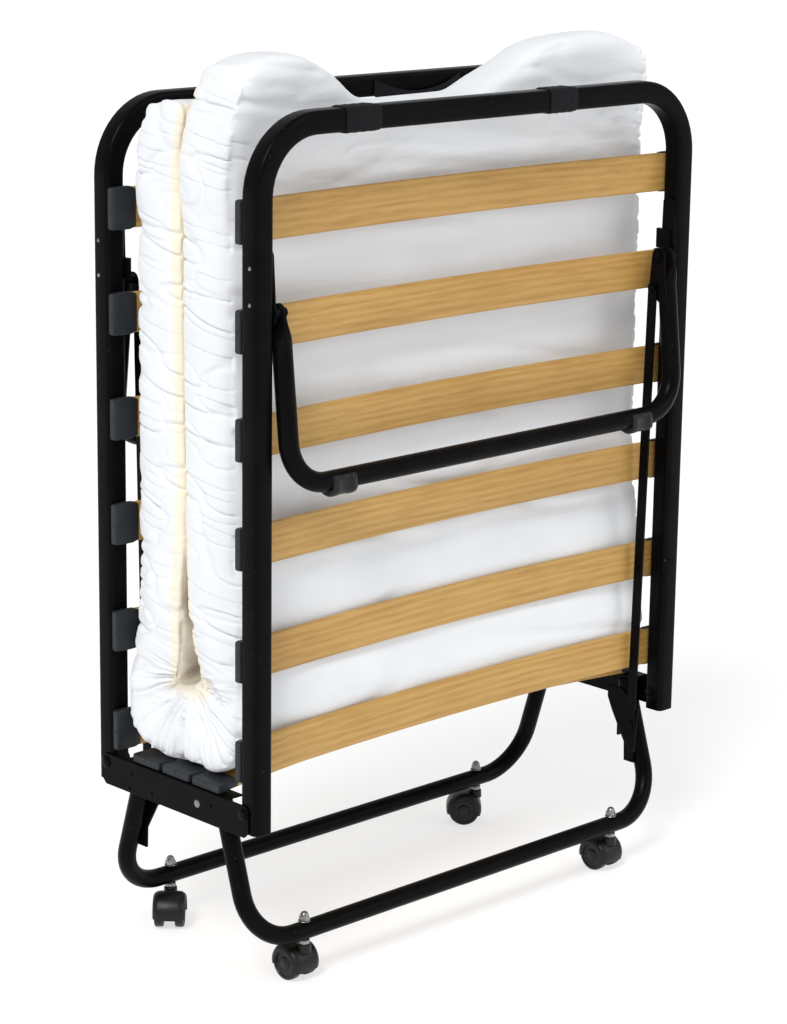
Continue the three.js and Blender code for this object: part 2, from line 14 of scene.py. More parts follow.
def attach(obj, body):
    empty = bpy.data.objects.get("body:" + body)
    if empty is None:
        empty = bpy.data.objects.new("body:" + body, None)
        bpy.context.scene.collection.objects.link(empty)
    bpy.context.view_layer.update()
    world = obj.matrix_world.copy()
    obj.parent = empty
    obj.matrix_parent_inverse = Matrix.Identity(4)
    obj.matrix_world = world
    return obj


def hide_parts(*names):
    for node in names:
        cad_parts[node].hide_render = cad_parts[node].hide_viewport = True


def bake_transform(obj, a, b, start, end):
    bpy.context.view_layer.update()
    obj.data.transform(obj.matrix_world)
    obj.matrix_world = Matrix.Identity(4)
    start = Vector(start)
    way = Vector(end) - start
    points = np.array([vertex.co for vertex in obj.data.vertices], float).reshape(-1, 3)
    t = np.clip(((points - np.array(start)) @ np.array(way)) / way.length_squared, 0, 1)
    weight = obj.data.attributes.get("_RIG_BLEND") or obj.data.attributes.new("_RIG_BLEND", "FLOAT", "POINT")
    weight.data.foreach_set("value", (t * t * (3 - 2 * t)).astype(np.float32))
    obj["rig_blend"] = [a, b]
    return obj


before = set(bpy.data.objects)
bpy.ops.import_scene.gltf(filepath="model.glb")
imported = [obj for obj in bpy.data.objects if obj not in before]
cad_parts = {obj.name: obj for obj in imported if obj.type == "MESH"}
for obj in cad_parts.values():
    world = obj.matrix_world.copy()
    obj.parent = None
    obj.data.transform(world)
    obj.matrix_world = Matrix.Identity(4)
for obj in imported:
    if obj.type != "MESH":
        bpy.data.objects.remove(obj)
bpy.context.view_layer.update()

MM = 0.001
ENDS = {"front": -1, "rear": 1}
SIDES = {"left": -1, "right": 1}

# Frame tubes
BED_HALF = 403.5
TUBE_X, TUBE_Y, TUBE_ROUND = 30, 30, 6.5
TUBE_WALL = 1.5
FRAME_BEND = 88.5
FRAME_Y = 144
POST_BOTTOM = 230
FRAME_TOP = 1141

# Hinges and side plates
HINGE_Y, HINGE_Z = 139, 256
PLATE_OUT = 406.8
PLATE_TOP = 268
GAP = 0.3                     # between pieces that touch

# Slats and holders
SLAT_W, SLAT_T, SLAT_BOW, SLAT_END = 53, 8, 17, 385
SLAT_TOPS = {"front": (118, 250, 396, 535, 671, 806), "rear": (99, 236, 381, 521, 659, 795)}
SLAT_ROUND = 2.2
CENTRE_SLAT_STEP = 60.5
HOLDER_W, HOLDER_LONG, HOLDER_T, CENTRE_HOLDER_T = 56, 38, 9.6, 12
SLAT_Y = FRAME_Y - TUBE_Y / 2 - GAP - HOLDER_T / 2

# Castor legs and castors
CASTOR_LEG_R, CASTOR_LEG_X, CASTOR_LEG_Y, CASTOR_LEG_Z = 12.5, 389.5, 137, 70
CASTOR_LEG_TOP, CASTOR_LEG_BEND = 260, 70
CASTOR_LEG_SPLAY = math.radians(17)
CASTOR_X, TRAIL, WHEEL_R, FORK_TOP = 299, 17, 23, 51.5
CASTORS = {"front_left": 0, "front_right": 0, "rear_left": 136, "rear_right": 46}

# Foot legs
FOOT_LEG_R, FOOT_LEG_X, FOOT_LEG_BEND = 13, 359.2, 57
FOOT_PIVOT = (152, 898)
FOOT_BAR = (175.5, 681)
EYE_R, EYE_HALF, EYE_X = 12, 3.15, 357.15
EYE_END, ARM_ROUND = 22, 52   # along the arm: where the flat eye ends, and where the tube is round again
PAD_X = (260, 301)
PAD_DROP = 20.5
PAD_WALL = 2.2


# ------------------------------------------------------------------ materials
class Graph:
    """A material's node tree, with short calls to add and join nodes."""

    def __init__(self, name):
        self.material = bpy.data.materials.new(name)
        self.material.use_nodes = True
        self.tree = self.material.node_tree
        self.shader = self.tree.nodes["Principled BSDF"]
        self.place = self.tree.nodes.new("ShaderNodeTexCoord").outputs["Object"]

    def node(self, kind, **values):
        made = self.tree.nodes.new("ShaderNode" + kind)
        for key, value in values.items():
            if hasattr(made, key):
                setattr(made, key, value)
            else:
                made.inputs[key.replace("_", " ")].default_value = value
        return made

    def link(self, source, target):
        self.tree.links.new(source, target)

    def set(self, **values):
        for key, value in values.items():
            self.shader.inputs[key.replace("_", " ")].default_value = value

    def stretched(self, scale):
        mapping = self.node("Mapping")
        mapping.inputs["Scale"].default_value = scale
        self.link(self.place, mapping.inputs["Vector"])
        return mapping.outputs["Vector"]

    def noise(self, scale, detail=2.0, stretch=(1, 1, 1), distortion=0.0):
        made = self.node("TexNoise", Scale=scale, Detail=detail, Distortion=distortion)
        self.link(self.stretched(stretch), made.inputs["Vector"])
        return made.outputs["Fac"]

    def ramp(self, source, stops):
        made = self.node("ValToRGB")
        ramp = made.color_ramp
        while len(ramp.elements) < len(stops):
            ramp.elements.new(0.5)
        for element, (at, colour) in zip(ramp.elements, stops):
            element.position = at
            element.color = (*colour, 1)
        self.link(source, made.inputs["Fac"])
        return made.outputs["Color"]

    def mixed(self, under, over, share, blend="MIX"):
        """Lays a colour or a socket over a socket; the share is a number or a socket."""
        made = self.node("MixRGB", blend_type=blend)
        self.link(under, made.inputs["Color1"])
        if isinstance(over, tuple):
            made.inputs["Color2"].default_value = (*over, 1)
        else:
            self.link(over, made.inputs["Color2"])
        if isinstance(share, float):
            made.inputs["Fac"].default_value = share
        else:
            self.link(share, made.inputs["Fac"])
        return made.outputs["Color"]

    def spread(self, source, low, high):
        made = self.node("MapRange")
        made.inputs["To Min"].default_value = low
        made.inputs["To Max"].default_value = high
        self.link(source, made.inputs["Value"])
        return made.outputs["Result"]

    def bump(self, source, strength, distance, below=None):
        made = self.node("Bump", Strength=strength, Distance=distance)
        self.link(source, made.inputs["Height"])
        if below:
            self.link(below, made.inputs["Normal"])
        return made.outputs["Normal"]


def grey(value):
    return (value, value, value)


def painted_steel():
    g = Graph("frame_paint")
    tone = g.ramp(g.noise(26, 3), [(0.3, (0.0018, 0.0018, 0.0022)), (0.7, (0.0036, 0.0036, 0.0042))])
    specks = g.ramp(g.noise(430, 1), [(0.8, grey(0.0)), (0.83, grey(1.0))])
    dust = (0.16, 0.16, 0.17)
    g.link(g.mixed(tone, dust, specks), g.shader.inputs["Base Color"])
    g.link(g.spread(g.noise(60, 4), 0.24, 0.36), g.shader.inputs["Roughness"])
    g.link(g.bump(g.noise(900, 2), 0.08, 0.0004), g.shader.inputs["Normal"])
    g.set(Specular_IOR_Level=0.05)
    return g.material


def moulded(name, low, high, roughness):
    g = Graph(name)
    g.link(g.ramp(g.noise(40, 3), [(0.3, low), (0.7, high)]), g.shader.inputs["Base Color"])
    g.link(g.spread(g.noise(80, 3), roughness - 0.05, roughness + 0.08), g.shader.inputs["Roughness"])
    g.link(g.bump(g.noise(1400, 2), 0.12, 0.0003), g.shader.inputs["Normal"])
    g.set(Specular_IOR_Level=0.3)
    return g.material


def beech():
    g = Graph("slat_beech")
    bands = g.node("TexWave", Scale=4.0, Distortion=5.0, Detail=4.0, wave_type="BANDS", bands_direction="Z")
    bands.inputs["Detail Scale"].default_value = 1.6
    g.link(g.stretched((0.55, 5.0, 7.5)), bands.inputs["Vector"])
    figure = g.ramp(bands.outputs["Fac"], [
        (0.0, (0.53, 0.312, 0.084)), (0.5, (0.57, 0.342, 0.1)), (1.0, (0.6, 0.37, 0.116)),
    ])
    patches = g.ramp(g.noise(3.4, 4, (1.0, 1.5, 3.2)), [(0.3, (0.8, 0.73, 0.62)), (0.68, grey(1.0))])
    tinted = g.mixed(figure, patches, 0.9, "MULTIPLY")
    pores = g.noise(260, 3, (0.05, 1, 1))
    flecks = g.ramp(pores, [(0.36, (0.74, 0.68, 0.6)), (0.5, grey(1.0))])
    g.link(g.mixed(tinted, flecks, 0.45, "MULTIPLY"), g.shader.inputs["Base Color"])
    g.link(g.spread(pores, 0.34, 0.5), g.shader.inputs["Roughness"])
    g.link(g.bump(pores, 0.1, 0.0004), g.shader.inputs["Normal"])
    g.set(Specular_IOR_Level=0.4)
    return g.material


def zinc_plate():
    g = Graph("zinc")
    tone = g.ramp(g.noise(120, 3), [(0.3, grey(0.2)), (0.7, grey(0.36))])
    g.link(tone, g.shader.inputs["Base Color"])
    g.link(g.spread(g.noise(200, 3), 0.25, 0.42), g.shader.inputs["Roughness"])
    g.set(Metallic=1.0)
    return g.material


def woven(name, colour, shadow, weave, weave_depth, crease=0.0, marks=(), sheen=0.25):
    """Cloth; marks are (attribute, colour) pairs, each colour laid on where its attribute is 1."""
    g = Graph(name)
    tone = g.ramp(g.noise(9, 3), [(0.3, shadow), (0.65, colour)])
    for attribute, mark in marks:
        marked = g.node("Attribute", attribute_name=attribute)
        tone = g.mixed(tone, mark, marked.outputs["Fac"])
    g.link(tone, g.shader.inputs["Base Color"])
    threads = g.noise(weave, 2, (1, 1, 1.6))
    normal = g.bump(threads, 0.25, weave_depth)
    if crease:
        normal = g.bump(g.noise(16, 4, (0.45, 0.45, 1.9), 0.6), 0.55, crease, normal)
    g.link(normal, g.shader.inputs["Normal"])
    g.set(Roughness=0.88, Specular_IOR_Level=0.25, Sheen_Weight=sheen, Sheen_Roughness=0.5)
    return g.material


PAINT = painted_steel()
BEECH = beech()
HOLDER = moulded("holder_plastic", (0.015, 0.018, 0.022), (0.021, 0.025, 0.030), 0.46)
PLASTIC = moulded("black_plastic", (0.004, 0.004, 0.005), (0.008, 0.008, 0.009), 0.38)
ZINC = zinc_plate()
# The taupe of the inner mark is painted shade for the inside of the slit; the cream mark is the cover's own
# colour.
COTTON = woven("mattress_cotton", (0.835, 0.855, 0.88), (0.79, 0.815, 0.85), 1500, 0.0003, 0.0035,
               [("cream", (0.87, 0.81, 0.68)), ("inner", (0.4, 0.335, 0.255))])
ELASTIC = woven("strap_elastic", (0.004, 0.004, 0.007), (0.0025, 0.0025, 0.004), 700, 0.0005, sheen=0.03)
FINISH = {
    "frame_paint": PAINT, "slat_beech": BEECH, "holder_plastic": HOLDER, "black_plastic": PLASTIC,
    "zinc": ZINC, "mattress_cotton": COTTON, "strap_elastic": ELASTIC,
}


# ------------------------------------------------------------------ mesh helpers
def piece(name, points, faces, slot, body, crisp=35, replaces=()):
    """A closed piece in its finish that rides on a body; edges sharper than crisp degrees stay sharp."""
    mesh = bpy.data.meshes.new(name)
    mesh.from_pydata([tuple(MM * c for c in p) for p in points], [], faces)
    tidy = bmesh.new()
    tidy.from_mesh(mesh)
    bmesh.ops.recalc_face_normals(tidy, faces=tidy.faces)
    tidy.to_mesh(mesh)
    tidy.free()
    mesh.shade_smooth()
    mesh.set_sharp_from_angle(angle=math.radians(crisp))
    mesh.materials.append(FINISH[slot])
    made = bpy.data.objects.new(name, mesh)
    bpy.context.scene.collection.objects.link(made)
    if body:
        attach(made, body)
    if replaces:
        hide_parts(*replaces)
    return made


def skin(rings, closed=False):
    """Points and faces over rings of equal length, capped at both ends unless closed."""
    count = len(rings[0])
    points = [p for ring in rings for p in ring]
    faces = []
    last = len(rings) if closed else len(rings) - 1
    for i in range(last):
        low, high = i * count, ((i + 1) % len(rings)) * count
        faces += [(low + k, low + (k + 1) % count, high + (k + 1) % count, high + k) for k in range(count)]
    if not closed:
        faces.append(tuple(reversed(range(count))))
        faces.append(tuple(range(len(points) - count, len(points))))
    return points, faces


def merged(*parts):
    points, faces = [], []
    for more_points, more_faces in parts:
        shift = len(points)
        points += list(more_points)
        faces += [tuple(shift + i for i in face) for face in more_faces]
    return points, faces


def moved(part, matrix):
    points, faces = part
    return [matrix @ Vector(p) for p in points], faces


def rounded(half_a, half_b, radius, steps=5):
    """Outline of a rounded rectangle as (a, b) pairs."""
    outline = []
    for quarter, (sa, sb) in enumerate([(1, 1), (-1, 1), (-1, -1), (1, -1)]):
        for k in range(steps + 1):
            angle = math.pi / 2 * (quarter + k / steps)
            outline.append((
                sa * (half_a - radius) + radius * math.cos(angle),
                sb * (half_b - radius) + radius * math.sin(angle),
            ))
    return outline


def circle(radius, steps=28):
    angles = [2 * math.pi * k / steps for k in range(steps)]
    return [(radius * math.cos(a), radius * math.sin(a)) for a in angles]


def block(stations, axis=0):
    """Piece along an axis from stations (place, outline), the outline in the other two axes."""
    rings = []
    for at, outline in stations:
        rings.append([tuple(np.roll((at, a, b), axis)) for a, b in outline])
    return skin(rings)


def lathe(profile, steps=28, matrix=None):
    """Turned piece about Z from (radius, height) pairs."""
    rings = [[(r * c, r * s, h) for c, s in circle(1, steps)] for r, h in profile]
    part = skin(rings)
    return moved(part, matrix) if matrix else part


def along_x(x, y, z, side=1):
    """Takes a piece made about Z to one about X, its heights growing outwards on that side."""
    return Matrix.Translation((x, y, z)) @ Matrix.Rotation(side * math.pi / 2, 4, "Y")


def plate(outline, low, high, edge=0.6):
    """Flat piece in a YZ plane between two values of x, its rim broken by edge."""
    middle = np.mean(outline, axis=0)
    inner = []
    for y, z in outline:
        away = np.array((y, z)) - middle
        inner.append(tuple(middle + away * (1 - edge / np.linalg.norm(away))))
    return block([(low, inner), (low + edge, outline), (high - edge, outline), (high, inner)])


def bent_path(corners, bend, steps):
    """Stations (point, direction) along straight runs joined by round bends."""
    corners = [Vector(c) for c in corners]
    stations = [(corners[0], (corners[1] - corners[0]).normalized())]
    for before, here, after in zip(corners, corners[1:], corners[2:]):
        come, go = (here - before).normalized(), (after - here).normalized()
        turn = come.angle(go)
        start = here - come * bend * math.tan(turn / 2)
        inward = (go - come * come.dot(go)).normalized()
        for k in range(steps + 1):
            a = turn * k / steps
            point = start + come * bend * math.sin(a) + inward * bend * (1 - math.cos(a))
            stations.append((point, come * math.cos(a) + inward * math.sin(a)))
    stations.append((corners[-1], (corners[-1] - corners[-2]).normalized()))
    return stations


def u_path(half, open_end, closed_end, bend, steps=14):
    """Upright U from (y, z) of its open end to (y, z) of its closed end."""
    corners = [
        (-half, *open_end), (-half, *closed_end), (half, *closed_end), (half, *open_end),
    ]
    return bent_path(corners, bend, steps)


def sweep(stations, outline_at, normal):
    """Tube along stations; outline_at(i) gives (in plane, across plane) pairs."""
    normal = Vector(normal).normalized()
    rings = []
    for i, (point, direction) in enumerate(stations):
        inward = normal.cross(direction).normalized()
        rings.append([point + inward * a + normal * b for a, b in outline_at(i)])
    return rings


def smooth_step(low, high, value):
    t = np.clip((value - low) / (high - low), 0, 1)
    return t * t * (3 - 2 * t)


def open_mouths(rings, wall, depth):
    """Adds a tube's mouth at both ends: a rim of its wall and a recess of that depth."""

    def mouth(ring, beyond):
        ring = [Vector(p) for p in ring]
        middle = sum(ring, Vector()) / len(ring)
        inward = (sum((Vector(p) for p in beyond), Vector()) / len(ring) - middle).normalized() * depth
        inner = [p + (middle - p).normalized() * wall for p in ring]
        return inner, [p + inward for p in inner]

    first, first_deep = mouth(rings[0], rings[1])
    last, last_deep = mouth(rings[-1], rings[-2])
    return [first_deep, first, *rings, last, last_deep]


# ------------------------------------------------------------------ folding halves
def build_frame(end, sign):
    top = FRAME_TOP - TUBE_X / 2
    stations = u_path(BED_HALF - TUBE_X / 2, (sign * FRAME_Y, POST_BOTTOM), (sign * FRAME_Y, top), FRAME_BEND)
    outline = rounded(TUBE_X / 2, TUBE_Y / 2, TUBE_ROUND)
    rings = sweep(stations, lambda i: outline, (0, 1, 0))
    piece(f"{end}_frame_tube", *skin(open_mouths(rings, TUBE_WALL, 4)), "frame_paint", f"{end}_half",
          replaces=[f"{end}_frame"])
    for side, k in SIDES.items():
        plug, slim = (rounded(TUBE_X / 2 - t, TUBE_Y / 2 - t, TUBE_ROUND - t) for t in (1.6, 2.4))
        centre = (k * (BED_HALF - TUBE_X / 2), sign * FRAME_Y)
        stations = [(POST_BOTTOM + z, [(centre[0] + a, centre[1] + b) for a, b in ring])
                    for z, ring in ((0.4, slim), (1.2, plug), (6, plug))]
        piece(f"{end}_{side}_post_plug", *block(stations, 2), "black_plastic", f"{end}_half")


def bow(x):
    return SLAT_BOW * (1 - (x / SLAT_END) ** 2)


def holder_bow(x):
    return max(bow(x), 0)


def slat_part(sign):
    """Bowed wooden strip along X, width along Z, bowing against sign along Y."""
    outline = rounded(SLAT_T / 2, SLAT_W / 2, SLAT_ROUND, 3)
    rings = []
    for i in range(33):
        x = SLAT_END * (i / 16 - 1)
        rings.append([(x, -sign * bow(x) + a, b) for a, b in outline])
    return skin(rings)


def holder_part(side, thick, sign):
    """Moulded end cap of a slat: it covers the slat's bowed face, and leaves the other open past its lip."""
    cover, lip = 1.6, 15

    def ring(back, trim, shave=0.0):
        """Outline at a distance back from the end, trimmed in width and shaved in thickness."""
        x = BED_HALF - back
        inner = max(thick / 2, holder_bow(x) + SLAT_T / 2 + cover) - shave
        open_face = SLAT_T / 2 - holder_bow(x) - cover / 2
        outer = (open_face if back > lip else thick / 2) - shave
        half, shift = (outer + inner) / 2, (outer - inner) / 2
        outline = rounded(half, HOLDER_W / 2 - trim, min(SLAT_ROUND, half * 0.6))
        return side * x, [(sign * (a + shift), b) for a, b in outline]

    return block([
        ring(HOLDER_LONG, 3.4, 0.9), ring(HOLDER_LONG - 1, 2.8, 0.2), ring(30, 0.3), ring(22, 0), ring(16, 0),
        ring(14.8, 0), ring(13, 0.5), ring(4, 0.5), ring(1.2, 1.2, 0.4), ring(0.1, 2.4, 1.4),
    ])


def stud_part(side, y):
    """Small round head in the end of a holder."""
    profile = [(0.1, 0.8), (1.2, 0.7), (1.9, 0.3), (2.1, -0.4), (0.1, -0.4)]
    return lathe(profile, 14, along_x(side * BED_HALF, y, -1.5, side))


def build_slats(end, sign):
    for i, top in enumerate(SLAT_TOPS[end], 1):
        place = Matrix.Translation((0, sign * SLAT_Y, POST_BOTTOM + top - SLAT_W / 2))
        wood = moved(slat_part(sign), place)
        piece(f"{end}_slat_{i}_wood", *wood, "slat_beech", f"{end}_half", replaces=[f"{end}_slat_{i}"])
        for side, k in SIDES.items():
            cap = merged(holder_part(k, HOLDER_T, sign), stud_part(k, sign * -1.5))
            piece(f"{end}_slat_{i}_{side}_holder", *moved(cap, place), "holder_plastic", f"{end}_half")


def build_foot_leg(end, sign):
    (pivot_y, pivot_z), (bar_y, bar_z) = FOOT_PIVOT, FOOT_BAR
    lean = (pivot_y - bar_y) / (pivot_z - bar_z)
    tip_z = pivot_z + EYE_R

    def station_y(z):
        return sign * (bar_y + lean * (z - bar_z))

    path = u_path(FOOT_LEG_X, (station_y(tip_z), tip_z), (sign * bar_y, bar_z), FOOT_LEG_BEND)
    start, down = path[0]
    eye_drops = [EYE_R * (1 - math.cos(math.pi / 2 * k / 6)) for k in range(1, 7)]
    drops = [0.15, *eye_drops, 16, 20, 24, 28, 32, 36, 40, 45, 50, 56, 64]
    arm = [(start + down * d, down) for d in drops]
    far = [(Vector((-p.x, p.y, p.z)), Vector((d.x, d.y, -d.z))) for p, d in reversed(arm)]
    stations = arm + path[1:-1] + far
    depths = drops + [ARM_ROUND] * (len(path) - 2) + list(reversed(drops))

    def flatness(depth):
        return 1 - smooth_step(EYE_END, ARM_ROUND, depth)

    def outline(i):
        depth = depths[i]
        flat = flatness(depth)
        thick = FOOT_LEG_R + (EYE_HALF - FOOT_LEG_R) * flat
        flare = 2.2 * math.sin(math.pi * min(max((depth - 16) / 36, 0), 1))
        wide = FOOT_LEG_R + (EYE_R + 0.4 - FOOT_LEG_R) * flat + flare
        if depth < EYE_R:
            wide = math.sqrt(max(EYE_R ** 2 - (EYE_R - depth) ** 2, 0.2))
        power = 1 - 0.55 * flat
        return [(math.copysign(abs(c) ** power, c) * thick, math.copysign(abs(s) ** power, s) * wide)
                for c, s in circle(1, 32)]

    normal = Vector((0, sign * (bar_y - pivot_y), bar_z - pivot_z)).cross(Vector((1, 0, 0)))
    rings = sweep(stations, outline, normal)
    for ring, depth in zip(rings, depths):
        for p in ring:
            p.x += math.copysign((EYE_X - FOOT_LEG_X) * flatness(depth), p.x)
    piece(f"{end}_foot_leg_tube", *skin(rings), "frame_paint", f"{end}_foot_leg", crisp=50,
          replaces=[f"{end}_foot_leg"])
    for side, k in SIDES.items():
        build_foot_pad(f"{end}_{side}_foot_pad", k, sign, f"{end}_foot_leg")


def build_foot_pad(name, k, sign, body):
    """Moulded clip under the foot bar: an open sleeve with a flat sole."""
    y, z = sign * FOOT_BAR[0], FOOT_BAR[1]
    steps, opening, closing = 40, -215, 35
    bore, sleeve = FOOT_LEG_R + GAP / 2, FOOT_LEG_R + PAD_WALL
    corner = sleeve + 5

    def section(grow):
        outer, inner = [], []
        for i in range(steps + 1):
            angle = math.radians(opening + (closing - opening) * i / steps)
            c, s = math.cos(angle), math.sin(angle)
            reach = sleeve
            if s < 0:
                sole = (PAD_DROP - 0.2) / max(-s, 1e-6)
                side = sleeve / max(abs(c), 1e-6)
                reach = min(sole, side, corner)
            outer.append((y + (reach + grow) * c, z + (reach + grow) * s))
            inner.append((y + bore * c, z + bore * s))
        return outer + inner[::-1]

    low, high = PAD_X
    stations = [(k * x, section(grow)) for x, grow in (
        (low, -1.9), (low + 3, 0), (low + 10, 0), (low + 11, -0.7), (high - 11, -0.7), (high - 10, 0),
        (high - 3, 0), (high, -1.9),
    )]
    piece(name + "_clip", *block(stations), "black_plastic", body, replaces=[name])


for end_name, end_sign in ENDS.items():
    build_frame(end_name, end_sign)
    build_slats(end_name, end_sign)
    build_foot_leg(end_name, end_sign)


# ------------------------------------------------------------------ centre section
def build_castor_leg(end, sign):
    rise = CASTOR_LEG_TOP - CASTOR_LEG_Z
    top_y = CASTOR_LEG_Y - rise * math.tan(CASTOR_LEG_SPLAY)
    open_end, closed_end = (sign * top_y, CASTOR_LEG_TOP), (sign * CASTOR_LEG_Y, CASTOR_LEG_Z)
    stations = u_path(CASTOR_LEG_X, open_end, closed_end, CASTOR_LEG_BEND)
    normal = Vector((0, sign * (CASTOR_LEG_Y - top_y), -rise)).cross(Vector((1, 0, 0)))
    rings = sweep(stations, lambda i: circle(CASTOR_LEG_R), normal)
    piece(f"{end}_castor_leg_tube", *skin(open_mouths(rings, TUBE_WALL, 6)), "frame_paint", "centre",
          replaces=[f"{end}_castor_leg"])


def build_centre_slats():
    z = PLATE_TOP + GAP + CENTRE_HOLDER_T / 2
    for i in (1, 2, 3):
        y = (i - 2) * CENTRE_SLAT_STEP
        lie = Matrix.Translation((0, y, z)) @ Matrix.Rotation(math.pi / 2, 4, "X")
        wood = moved(slat_part(-1), lie)
        piece(f"centre_slat_{i}_wood", *wood, "slat_beech", "centre", replaces=[f"centre_slat_{i}"])
        for side, k in SIDES.items():
            cap = merged(holder_part(k, CENTRE_HOLDER_T, -1), stud_part(k, 2.0))
            piece(f"centre_slat_{i}_{side}_holder", *moved(cap, lie), "holder_plastic", "centre")


def build_hinge_pins():
    inner, shank = BED_HALF - TUBE_X - GAP, 4
    tail = [(0.1, inner - 2.4), (shank, inner - 2.4), (6.4, inner - 1.8), (7, inner - 0.8), (7, inner)]
    head = [(8, GAP), (7.8, 1.4), (6.2, 2.5), (3, 2.9), (0.1, 3)]
    profile = [*tail, (shank, inner), (shank, PLATE_OUT + GAP), *((r, PLATE_OUT + h) for r, h in head)]
    for end, sign in ENDS.items():
        for side, k in SIDES.items():
            name = f"{end}_{side}_hinge_pin"
            part = lathe(profile, 28, along_x(0, sign * HINGE_Y, HINGE_Z, k))
            piece(name + "_rivet", *part, "frame_paint", "centre", replaces=[name])


def dome(r):
    """Profile of a low rivet head."""
    return [(0.1, 1.6), (r * 0.6, 1.3), (r * 0.92, 0.6), (r, -0.4), (0.1, -0.4)]


def build_plate_rivets():
    """Four small heads and a stout one on each side plate; the right plate is the left one turned round."""
    small = ((86.8, 251.5), (91, 231), (45, 235), (-74.4, 250))
    for side, k in SIDES.items():
        parts = [lathe(dome(3.0), 18, along_x(k * PLATE_OUT, -k * y, z, k)) for y, z in small]
        piece(f"{side}_plate_rivets", *merged(*parts), "frame_paint", "centre")
        stout = lathe(dome(5.5), 24, along_x(k * PLATE_OUT, k * 48.5, 247, k))
        piece(f"{side}_plate_stout_rivet", *stout, "zinc", "centre")


def build_post_rivets():
    """Heads of the rivets that hold the foot leg's brackets, on the posts' outer sides. They are made in zinc
    as a painted highlight: the real heads are black-painted, and the grey stands in for their glint.
    """
    for end, sign in ENDS.items():
        for side, k in SIDES.items():
            places = [along_x(k * BED_HALF, sign * (FRAME_Y + 3), z, k) for z in (956, 911)]
            parts = [lathe(dome(2.8), 18, place) for place in places]
            # zinc here is a painted highlight standing in for the glint on black-painted heads
            piece(f"{end}_{side}_post_rivets", *merged(*parts), "zinc", f"{end}_half")


def build_castor(name, heading):
    end, side = name.split("_")
    base = Matrix.Translation((SIDES[side] * CASTOR_X, ENDS[end] * CASTOR_LEG_Y, 0))
    base = base @ Matrix.Rotation(math.radians(heading), 4, "Z")
    hub = base @ Matrix.Translation((0, TRAIL, WHEEL_R))
    build_stem(name, base)
    build_fork(name, base, hub)
    build_wheels(name, hub)


def build_stem(name, base):
    """Stem with its collar under the leg, and a washer and domed cap nut over it."""
    foot, shank, collar = 33, 4, FORK_TOP + GAP
    under = CASTOR_LEG_Z - CASTOR_LEG_R - GAP
    over = CASTOR_LEG_Z + CASTOR_LEG_R + GAP
    profile = [(0.1, foot), (shank, foot), (shank, collar), (7, collar), (7.5, FORK_TOP + 1),
               (7.5, under - 1), (7, under), (shank, under), (shank, over), (0.1, over)]
    stem = lathe(profile, 24)
    low = over + 1.3
    washer = lathe([(0.1, over), (8, over), (8.4, over + 0.6), (8, low), (0.1, low)], 28)
    hexagon = circle(7.4, 6)
    slim = circle(0.93 * 7.4, 6)
    nut = block([(low, slim), (low + 0.6, hexagon), (low + 4.6, hexagon), (low + 5.4, slim)], 2)
    curve = [math.radians(a) for a in range(0, 90, 10)]
    dome_wide, dome_high, dome_low = 6.0, 7.4, low + 5.2
    arc = [(dome_wide * math.cos(a), dome_low + dome_high * math.sin(a)) for a in curve]
    cap = lathe([(0.1, low + 5), (dome_wide, low + 5), *arc, (0.1, dome_low + dome_high)], 28)
    part = moved(merged(stem, washer, nut, cap), base)
    piece(f"{name}_castor_stem_and_nut", *part, "zinc", "centre", replaces=[f"{name}_castor_stem"])


def build_fork(name, base, hub):
    """Hood over both wheels with the boss for the stem, made about the axle."""
    shell = [(17.5, -22.6), (20.5, -22.4), (23.6, -20.6), (25.8, -17), (26.5, -13), (26.7, 0), (26.5, 13),
             (25.8, 17), (23.6, 20.6), (20.5, 22.4), (17.5, 22.6)]
    lining = [(r - 2.0, 0.91 * x) for r, x in reversed(shell)]
    steps, low, sweep_angle = 30, -14, 214
    rings = []
    for i in range(steps + 1):
        angle = math.radians(low + sweep_angle * i / steps)
        rings.append([(x, r * math.cos(angle), r * math.sin(angle)) for r, x in shell + lining])
    hood = moved(skin(rings), hub)
    web_outline = [(-21, 4), (-20, 24), (-8, 27), (10, 22), (19, 10), (19, -4), (10, -9), (-2, -9), (-12, -4)]
    web = moved(plate(web_outline, -6.6, 6.6, 1.0), hub)
    profile = [(0.1, 40), (9.6, 40), (9.0, FORK_TOP - 1), (8.2, FORK_TOP), (0.1, FORK_TOP)]
    boss = moved(lathe(profile, 28), base)
    piece(f"{name}_castor_hood", *merged(hood, web, boss), "black_plastic", f"{name}_castor",
          replaces=[f"{name}_castor_fork"])


def build_wheels(name, hub):
    """Twin wheels on a short axle."""
    tread = [(0.1, 7.6), (18, 7.6), (21.5, 8), (22.8, 9.6), (23, 11.5), (23, 17), (22.6, 19), (21, 20.3),
             (18.5, 20.5), (17.6, 19.4), (9, 18.8), (8, 20.2), (6.5, 20.8), (0.1, 21)]
    parts = []
    for k in (-1, 1):
        profile = tread if k > 0 else [(r, -x) for r, x in reversed(tread)]
        parts.append(lathe(profile, 40, Matrix.Rotation(math.pi / 2, 4, "Y")))
    parts.append(lathe([(3, -8), (3, 8)], 16, Matrix.Rotation(math.pi / 2, 4, "Y")))
    part = moved(merged(*parts), hub)
    piece(f"{name}_castor_twin_wheels", *part, "black_plastic", f"{name}_wheels",
          replaces=[f"{name}_castor_wheels"])


for end_name, end_sign in ENDS.items():
    build_castor_leg(end_name, end_sign)
build_centre_slats()
build_hinge_pins()
build_plate_rivets()
build_post_rivets()
for castor_name, castor_heading in CASTORS.items():
    build_castor(castor_name, castor_heading)


